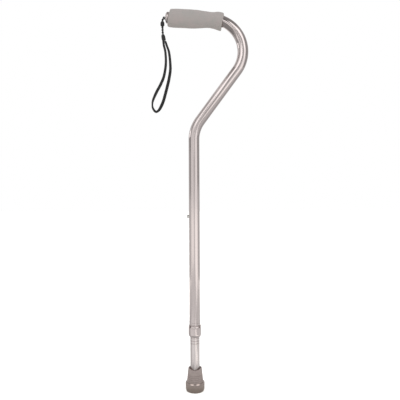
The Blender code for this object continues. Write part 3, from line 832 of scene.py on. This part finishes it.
collar = {
    "bottom": 110.0, "length": 22.5, "bore": 11.4125, "boreEdge": 0.3, "radius": 13.0, "sides": 96,
    "lip": 2.6, "lipBore": 9.8625, "lipEdge": 0.2, "foot": 0.5, "rounding": 6.5,
    "roundingSteps": 18, "band": 4.2, "groove": 0.8, "grooveDepth": 0.3, "grooveSlope": 0.25,
    # how the rim rounds off: in from the side and down from the top
    "rimEdge": [(0.5, 0), (0.12, 0.18), (0, 0.55)],
    "slotCount": 4, "slotBlade": 5.0, "slotWidth": 4.0, "slotDepth": 3.0,
}


def makeCollarNut():
    c = collar
    low, high = c["bottom"], c["bottom"] + c["length"]
    wide, footRadius, lipBore = c["radius"], c["lipBore"] + c["foot"], c["lipBore"]
    above, floor, slope = high - c["band"], wide - c["grooveDepth"], c["grooveSlope"]
    below = above - c["groove"]
    rows = [(wide - inward, high - down) for inward, down in c["rimEdge"]]
    rows += [(wide, above), (floor, above - slope), (floor, below + slope), (wide, below)]
    rows += [
        (footRadius + (wide - footRadius) * x, low + c["rounding"] * (1 + y))
        for x, y in arc(0, -90, c["roundingSteps"])
    ]
    rows += [
        (lipBore + c["lipEdge"], low), (lipBore, low + c["lipEdge"]), (lipBore, low + c["lip"]),
        (c["bore"], low + c["lip"]), (c["bore"], high - c["boreEdge"]),
        (c["bore"] + c["boreEdge"], high),
    ]
    carrier = turnedPiece("nutCarrier", rows, c["sides"])
    sizes = metres({**c, "slotReach": wide, "slotLevel": high}, *slotNames)
    addTree(carrier, makeCutTree(tubeFinish, sizes), sizes)
    piece = settled(carrier, "collarNut")
    piece.data.set_sharp_from_angle(angle=sharpAngle)
    held = piece.data.attributes.new("straightened", "FLOAT_VECTOR", "POINT")
    held.data.foreach_set("vector", [v for vert in piece.data.vertices for v in vert.co])
    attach(piece, "collar")
    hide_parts("collar_nut")
    nodes["collar_ring"].data.materials[0] = acetalFinish


makeCollarNut()
print("collar made")


# Rubber tip: its mouth dips at the front and the back, fine rings run round its cone and a ledge
# above its broad base, and its tread has two round grooves

foot = {
    "floor": 4.5, "height": 47.0, "topWall": 4.0, "mouthDepth": 5.5, "rim": 1.4, "coneWall": 6.9,
    "coneTopOut": 0.6, "ledge": 18.0, "ledgeGroove": 0.6, "grooveRise": 0.3, "baseRadius": 19.5,
    "baseRise": 3.2, "baseDraft": 0.2, "chamfer": 1.8, "treadDepth": 1.6, "treadRib": 2.6,
    "treadGroove": 1.8, "grooves": 2, "gap": 0.3, "dipDepth": 3.5, "dipHalfWidth": 12.0,
    "dipReach": 14.0, "closedFlare": 0.05,
    "rings": 4, "ringPitch": 3.6, "ringWidth": 1.3, "ringDepth": 0.9, "lowestRing": 22.0,
    # the turned face's inner radius, which is then closed flat
    "core": 0.4, "sides": 96,
}


def tipProfile(socket, topOuter):
    # (radius, height, fillet) from the socket's floor over the mouth and down to the tread
    f = foot
    high, rim, ledge, chamfer, wide = f["height"], f["rim"], f["ledge"], f["chamfer"], f["baseRadius"]
    coneTop, coneFoot = (topOuter + f["coneTopOut"], high - f["dipReach"] / 2), socket + f["coneWall"]

    def onCone(height, out):
        share = (coneTop[1] - height) / (coneTop[1] - ledge)
        return (coneTop[0] + (coneFoot - coneTop[0]) * share + out, height, 0.2)

    corners = [
        (f["core"], f["floor"], 0), (socket, f["floor"], 0.4), (socket, high - f["dipReach"], 0),
        (socket, high - f["mouthDepth"], 1.2), (topOuter - rim, high, 0.5),
        (topOuter - rim / 3, high, 0.4), (topOuter, high - rim, 0.6), (*coneTop, 0),
    ]
    half, sunk = f["ringWidth"] / 2, -f["ringDepth"]
    for i in range(f["rings"])[::-1]:
        middle = f["lowestRing"] + i * f["ringPitch"]
        corners += [
            onCone(middle + half, 0), onCone(middle + half / 2, sunk),
            onCone(middle - half / 2, sunk), onCone(middle - half, 0),
        ]
    inGroove, rise, edge = coneFoot - f["ledgeGroove"], f["grooveRise"], wide - chamfer
    corners += [
        (coneFoot, ledge + 2 * rise, 0.2), (inGroove, ledge + rise, 0.2), (inGroove, ledge, 0.2),
        (wide - f["baseDraft"], ledge, 1.5), (wide, ledge - f["baseRise"], 0.8),
        (wide - chamfer / 4, chamfer * 2, 0.8), (edge, 0, 0.5),
    ]
    for _ in range(f["grooves"]):
        edge -= f["treadRib"]
        corners += [(edge, 0, 0.2), (edge, f["treadDepth"], 0.3)]
        edge -= f["treadGroove"]
        corners += [(edge, f["treadDepth"], 0.3), (edge, 0, 0.2)]
    return filleted([*corners, (f["core"], 0, 0)])


def makeRubberTip():
    f = foot
    socket = leg["radius"] + f["gap"]
    topOuter = socket + f["topWall"]
    mouthEdge = topOuter - f["rim"]
    profile = tipProfile(socket, topOuter)
    piece = turnedPiece("rubberTip", profile, f["sides"], False, finish=rubberFinish)
    for vert in piece.data.vertices:
        x, y, z = [v / mm for v in vert.co]
        middle = max(1 - (x / f["dipHalfWidth"]) ** 2, 0)
        radius = hypot(x, y)
        if z > f["height"] - f["mouthDepth"] and radius < topOuter:
            # the mouth's flare closes up on the leg at the front and the back
            closed = socket + (mouthEdge - socket) * (1 - middle * (1 - f["closedFlare"]))
            drawn = np.interp(radius, (socket, mouthEdge, topOuter), (socket, closed, topOuter))
            vert.co.x *= drawn / radius
            vert.co.y *= drawn / radius
        nearRim = min(max(z - f["height"] + f["dipReach"], 0) / f["dipReach"], 1)
        vert.co.z -= f["dipDepth"] * middle * nearRim * mm
    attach(piece, "leg")
    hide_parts("rubber_tip")
    nodes["tip_washer"].data.materials[0] = steelFinish


makeRubberTip()
print("rubber tip made")


# Foam grip

grip = {
    # distance from the tube's free end, drop below the tube, diameter, and lean of the section
    "stations": [
        (1.4, -0.2, 32.2, 5.0), (2.8, -0.1, 34.5, 5.0), (6.6, 0.0, 35.6, 4.5),
        (11.5, 0.2, 36.2, 3), (19.7, 0.3, 36.5, 1), (36.0, 0.7, 36.4, 0), (44.2, 1.0, 36.5, 0),
        (52.3, 1.2, 36.0, 0), (60.5, 1.3, 35.1, 0), (68.7, 1.6, 33.4, 0), (76.8, 1.7, 31.8, -1),
        (85.0, 2.3, 31.0, -3), (93.2, 2.8, 32.2, -5), (101.0, 2.4, 35.2, -7),
        (106.5, 2.0, 35.6, -8), (110.2, 1.8, 35.4, -8.4), (111.6, 1.7, 33.4, -8.4),
    ],
    "steps": 5, "sides": 96, "boreGap": 0.15, "boreSteps": 24,
    # the end faces' leans fade out over the first and last parts of the bore, one in this many
    "leanFade": 8,
}


def alongTube(distance):
    # the place and direction that far from the handle's free end, back along the tube
    backward = tubeLine[::-1]
    for start, end in zip(backward, backward[1:]):
        step = (end - start).length
        if distance <= step:
            way = (end - start) / step
            return start + way * distance, way
        distance -= step


def makeFoamGrip():
    rows = []
    for distance, drop, diameter, lean in grip["stations"]:
        place, way = alongTube(distance * mm)
        middle = place + depthAxis.cross(way) * drop * mm
        rows.append(Vector((middle.x, middle.z, diameter * mm / 2, radians(lean))))
    dense = smoothThrough(rows, grip["steps"])
    middles = [Vector((x, 0, z)) for x, z, _, _ in dense]
    turns = [tau * i / grip["sides"] for i in range(grip["sides"])]

    def ringAt(middle, way, radius, lean):
        down = Matrix.Rotation(lean, 3, "Y") @ depthAxis.cross(way).normalized()
        return [middle + (down * cos(t) + depthAxis * sin(t)) * radius for t in turns]

    rings = [ringAt(middles[i], wayAt(middles, i), row[2], row[3]) for i, row in enumerate(dense)]
    bore = (handle["tubeRadius"] + grip["boreGap"]) * mm
    first, last = grip["stations"][0], grip["stations"][-1]
    fade = grip["leanFade"]
    for i in range(grip["boreSteps"] + 1):
        share = i / grip["boreSteps"]
        place, way = alongTube((last[0] + (first[0] - last[0]) * share) * mm)
        lean = last[3] * max(1 - fade * share, 0) + first[3] * max(1 - fade * (1 - share), 0)
        rings.append(ringAt(place, way, bore, radians(lean)))
    piece = newPiece("foamGrip", loftMesh("foamGrip", rings, True), foamFinish)
    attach(piece, "shaft")
    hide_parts("foam_grip")


makeFoamGrip()
print("foam grip made")


# End plug in the handle's free end, and a grey rubber ring in the gap to the foam, put there as painted
# shade of the gap

plug = {
    "flange": 12.0, "flangeEdge": 0.3, "rim": 1.3, "dome": 5.4, "domeSpan": 80, "domeSteps": 24,
    "stem": 12.0, "stemGap": 0.3, "stemEdge": 0.6, "hole": 1.6, "seat": 0.3, "sides": 72,
    # how the hole's mouth rounds off: out from the hole and down from the dome's top
    "holeEdge": [(0, 0.7), (0.25, 0.2)],
    "gapShadeRadius": 11.8, "gapShadeSetback": 0.1, "gapShadeDepth": 1.2, "gapShadeClear": 0.05,
}


def makeEndPlug():
    p = plug
    seat, low = p["seat"], p["seat"] - p["stem"]
    stem = handle["tubeRadius"] - handle["wall"] - p["stemGap"]
    rim, edge = seat + p["rim"], p["flangeEdge"]
    rows = [(p["hole"] + out, rim + p["dome"] - down) for out, down in p["holeEdge"]]
    rows += [
        (p["flange"] * x, rim + p["dome"] * y) for x, y in arc(p["domeSpan"], 0, p["domeSteps"])
    ]
    rows += [
        (p["flange"], seat + edge), (p["flange"] - edge, seat), (stem, seat),
        (stem, low + p["stemEdge"]), (stem - p["stemEdge"], low), (p["hole"], low),
    ]
    turn = leaning(tubeLean).to_track_quat("Z", "Y").to_matrix().to_4x4()
    place = Matrix.Translation(tubeLine[-1]) @ turn
    piece = turnedPiece("endPlug", rows, p["sides"], True, place, plugFinish)
    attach(piece, "shaft")
    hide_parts("end_plug")

    # painted shade: a grey rubber ring between the flange and the foam darkens the gap as its shadow
    # would
    inner, high = handle["tubeRadius"] + p["gapShadeClear"], seat - p["gapShadeSetback"]
    low = high - p["gapShadeDepth"]
    rows = [(inner, high), (p["gapShadeRadius"], high), (p["gapShadeRadius"], low), (inner, low)]
    gapShade = turnedPiece("plugGapShade", rows, p["sides"], True, place, rubberFinish)
    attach(gapShade, "shaft")


makeEndPlug()
print("end plug made")


# Snap button on its leaf spring

button = {
    "radius": 3.3, "proud": 4.3, "dome": 1.2, "domeSpan": 84, "domeSteps": 12, "domeFlat": 0.45,
    "rivet": 1.2, "base": 6.578, "tail": 4.878, "edge": 0.2, "core": 0.15, "height": 354.7,
    "sides": 48,
}


def makeSnapButton():
    b = button
    tip, edge = handle["tubeRadius"] + b["proud"], b["edge"]
    rows = [(b["core"], tip)]
    rows += [
        (b["radius"] * (b["domeFlat"] + (1 - b["domeFlat"]) * x), tip - b["dome"] + b["dome"] * y)
        for x, y in arc(b["domeSpan"], 0, b["domeSteps"])
    ]
    rows += [
        (b["radius"], b["base"] + edge), (b["radius"] - edge, b["base"]), (b["rivet"], b["base"]),
        (b["rivet"], b["tail"] + edge), (b["rivet"] - edge, b["tail"]), (b["core"], b["tail"]),
    ]
    place = Matrix.Translation((0, 0, b["height"] * mm)) @ Matrix.Rotation(-pi / 2, 4, "Y")
    piece = turnedPiece("snapButton", rows, b["sides"], False, place, steelFinish)
    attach(piece, "button")
    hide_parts("snap_button")
    nodes["snap_spring"].data.materials[0] = steelFinish


makeSnapButton()
print("snap button made")


# Studio: pale floor and backdrop, soft boxes, and glowing cards, lighter and darker than white, that
# light nothing and show only in reflections

studio = {
    "ambient": 0.96, "floorSize": 30.0, "floorColour": "#F0EEEB", "floorDrop": 0.05,
    "floorGlow": 0.5,
    "softBoxes": [
        # azimuth from the camera, distance, width, lower edge, upper edge, radiance
        (-25, 1.1, 0.7, 0.87, 1.7, 0.3), (40, 1.1, 0.6, 0.87, 1.78, 0.28),
        (43, 1.1, 0.36, 0.45, 0.87, 0.25), (37, 1.1, 0.6, 0.02, 0.45, 0.2),
    ],
    "wallCards": [
        # from azimuth, to azimuth, lower edge, upper edge, brightness
        (-42, -7, 1.02, 1.7, 1.5), (-42, -14, 0.62, 1.02, 0.95), (-14, -3, 0.72, 1.02, 0.72),
        (22, 55, 0.87, 1.78, 1.5), (57, 72, 0.85, 2.3, 0.42), (34, 52, 0.45, 0.87, 1.25),
        (-10, 10, 0.02, 0.38, 0.84), (-10, 10, 0.38, 0.6, 0.72), (-4, 6, 0.6, 0.7, 1.3),
        (6, 20, 0.45, 0.72, 0.68), (-3, 18, 0.72, 1.18, 0.54), (-112, -66, 1.5, 2.0, 0.6),
        (-88, -66, 1.0, 1.5, 0.42), (-120, -88, 1.0, 1.5, 0.9), (-120, -88, 0.74, 1.0, 2.0),
        (-88, -66, 0.62, 1.0, 0.38), (-112, -88, 0.62, 0.74, 0.38), (-110, -68, 0.4, 0.62, 0.46),
        (-110, -68, 0.02, 0.4, 0.74), (72, 115, 0.45, 2.3, 0.42), (75, 115, 0.02, 0.45, 0.66),
        (115, 150, 0.02, 2.0, 0.6), (-150, -112, 0.02, 1.1, 0.62), (-150, -120, 1.1, 2.0, 0.8),
    ],
    "wallDistance": 1.2, "wallSteps": 8,
    "flatCards": [
        # from x, to x, from y, to y, height, brightness
        (-1.2, 1.2, -1.2, 1.2, 2.2, 0.35), (0.03, 0.112, -0.36, -0.11, 0.86, 0.22),
        (0.03, 0.172, -0.11, -0.03, 0.86, 0.3), (0.172, 0.3, -0.09, -0.03, 0.86, 0.5),
        (-1.1, -0.5, -1.0, 0.3, 0.5, 0.5), (-0.5, -0.06, -1.0, 0.3, 0.5, 0.34),
        (0.06, 0.8, -0.3, -0.02, 0.5, 0.74), (0.06, 0.8, -0.02, 0.4, 0.5, 0.52),
        (-1.2, 0.5, -1.6, -0.5, 0.01, 0.88), (-1.1, -0.2, -0.5, 0.5, 0.01, 0.8),
        (0.2, 1.1, -0.5, 0.5, 0.01, 0.8), (-0.6, -0.05, -0.05, 0.4, 0.012, 0.66),
        (0.05, 0.6, -0.05, 0.4, 0.012, 0.84), (-0.05, 0.04, -0.55, -0.05, 0.012, 0.88),
        # the last card, dark and close round the tip, is painted shade: the floor's shadow round the
        # tip, as the metal above reflects it
        (-0.5, -0.05, -0.5, -0.05, 0.012, 0.98), (-0.1, 0.1, -0.1, 0.1, 0.014, 0.42),
    ],
    # flat cards below this height face up, and the others hang overhead and face down
    "overhead": 0.7,
    "nearCards": [
        # in front of the upper bend, for its highlight and dark bands: from x, to x, lower edge, upper
        # edge, brightness
        (-0.13, -0.055, 0.685, 0.775, 0.42), (0.003, 0.043, 0.75, 0.784, 0.4),
        (0.045, 0.066, 0.79, 0.84, 2.6), (0.085, 0.145, 0.756, 0.85, 0.5),
        (0.17, 0.26, 0.65, 0.8, 0.85), (0.12, 0.26, 0.86, 1.0, 1.9),
    ],
    "nearDistance": 0.3,
}


def around(azimuth, distance, height):
    angle = radians(azimuth)
    return Vector((distance * sin(angle), -distance * cos(angle), height))


def addSoftBox(name, azimuth, distance, width, low, high, radiance):
    data = bpy.data.lights.new(name, "AREA")
    data.shape = "RECTANGLE"
    data.size, data.size_y = width, high - low
    data.energy = radiance * pi * width * (high - low)
    lamp = bpy.data.objects.new(name, data)
    bpy.context.scene.collection.objects.link(lamp)
    place = around(azimuth, distance, (low + high) / 2)
    facing = Vector((-place.x, -place.y, 0)).to_track_quat("-Z", "Y").to_matrix().to_4x4()
    lamp.matrix_world = Matrix.Translation(place) @ facing
    lamp.visible_camera = False


def addGlowingCard(name, pairs, brightness):
    # a card that glows at its own brightness but lights nothing, seen only in reflections and only
    # from the front, as the cards that a photographer stands round polished metal
    card = bpy.data.materials.new(name)
    tree = emptiedTree(card)
    glow = addNode(tree, "ShaderNodeEmission", {"Color": (*[brightness] * 3, 1)})
    side = addNode(tree, "ShaderNodeNewGeometry")
    behind = addNode(tree, "ShaderNodeBsdfTransparent")
    both = addNode(tree, "ShaderNodeMixShader", {0: side.outputs["Backfacing"], 1: glow, 2: behind})
    addNode(tree, "ShaderNodeOutputMaterial", {"Surface": both})
    mesh = bpy.data.meshes.new(name)
    faces = [(2 * i, 2 * i + 1, 2 * i + 3, 2 * i + 2) for i in range(len(pairs) - 1)]
    mesh.from_pydata([tuple(point) for pair in pairs for point in pair], [], faces)
    piece = newPiece(name, mesh, card)
    for ray in ("camera", "diffuse", "shadow", "transmission"):
        setattr(piece, f"visible_{ray}", False)


def seenBy(tree, *kinds):
    # 1 for the named kinds of ray and 0 for all others
    rays = addNode(tree, "ShaderNodeLightPath").outputs
    seen = rays[kinds[0]]
    for kind in kinds[1:]:
        seen = addNode(tree, "ShaderNodeMath", {
            0: seen, 1: rays[kind],
        }, {"operation": "ADD", "use_clamp": True})
    return seen


def makeSky():
    world = bpy.data.worlds.new("paleStudio")
    bpy.context.scene.world = world
    tree = emptiedTree(world)
    seen = seenBy(tree, "Is Camera Ray", "Is Glossy Ray", "Is Transmission Ray")
    strength = addNode(tree, "ShaderNodeMapRange", {"Value": seen, "To Min": studio["ambient"]})
    sky = addNode(tree, "ShaderNodeBackground", {"Color": (1, 1, 1, 1), "Strength": strength})
    addNode(tree, "ShaderNodeOutputWorld", {"Surface": sky})


def makeFloor():
    floorFinish = bpy.data.materials.new("paleFloor")
    tree = emptiedTree(floorFinish)
    seen = seenBy(tree, "Is Camera Ray", "Is Glossy Ray")
    glow = addNode(tree, "ShaderNodeMath", (seen, studio["floorGlow"]), "MULTIPLY")
    matt = addNode(tree, "ShaderNodeBsdfDiffuse", {"Color": linear(studio["floorColour"])})
    light = addNode(tree, "ShaderNodeEmission", {"Strength": glow})
    both = addNode(tree, "ShaderNodeAddShader", (matt, light))
    addNode(tree, "ShaderNodeOutputMaterial", {"Surface": both})
    reach = studio["floorSize"] / 2
    mesh = bpy.data.meshes.new("floor")
    corners = [(-reach, -reach), (reach, -reach), (reach, reach), (-reach, reach)]
    mesh.from_pydata([(x, y, -studio["floorDrop"] * mm) for x, y in corners], [], [(0, 1, 2, 3)])
    newPiece("floor", mesh, floorFinish)


def makeStudio():
    bpy.context.scene.view_settings.view_transform = "Standard"
    makeSky()
    makeFloor()
    for i, values in enumerate(studio["softBoxes"]):
        addSoftBox(f"softBox{i}", *values)
    steps = studio["wallSteps"]
    for i, (start, end, low, high, brightness) in enumerate(studio["wallCards"]):
        turns = [start + (end - start) * k / steps for k in range(steps + 1)]
        pairs = [[around(t, studio["wallDistance"], z) for z in (low, high)] for t in turns]
        addGlowingCard(f"wallCard{i}", pairs, brightness)
    for i, (left, right, front, back, height, brightness) in enumerate(studio["flatCards"]):
        near, far = (back, front) if height < studio["overhead"] else (front, back)
        pairs = [[(x, near, height), (x, far, height)] for x in (left, right)]
        addGlowingCard(f"flatCard{i}", pairs, brightness)
    for i, (left, right, low, high, brightness) in enumerate(studio["nearCards"]):
        pairs = [[(x, -studio["nearDistance"], z) for z in (low, high)] for x in (left, right)]
        addGlowingCard(f"nearCard{i}", pairs, brightness)


makeStudio()
print("studio made")
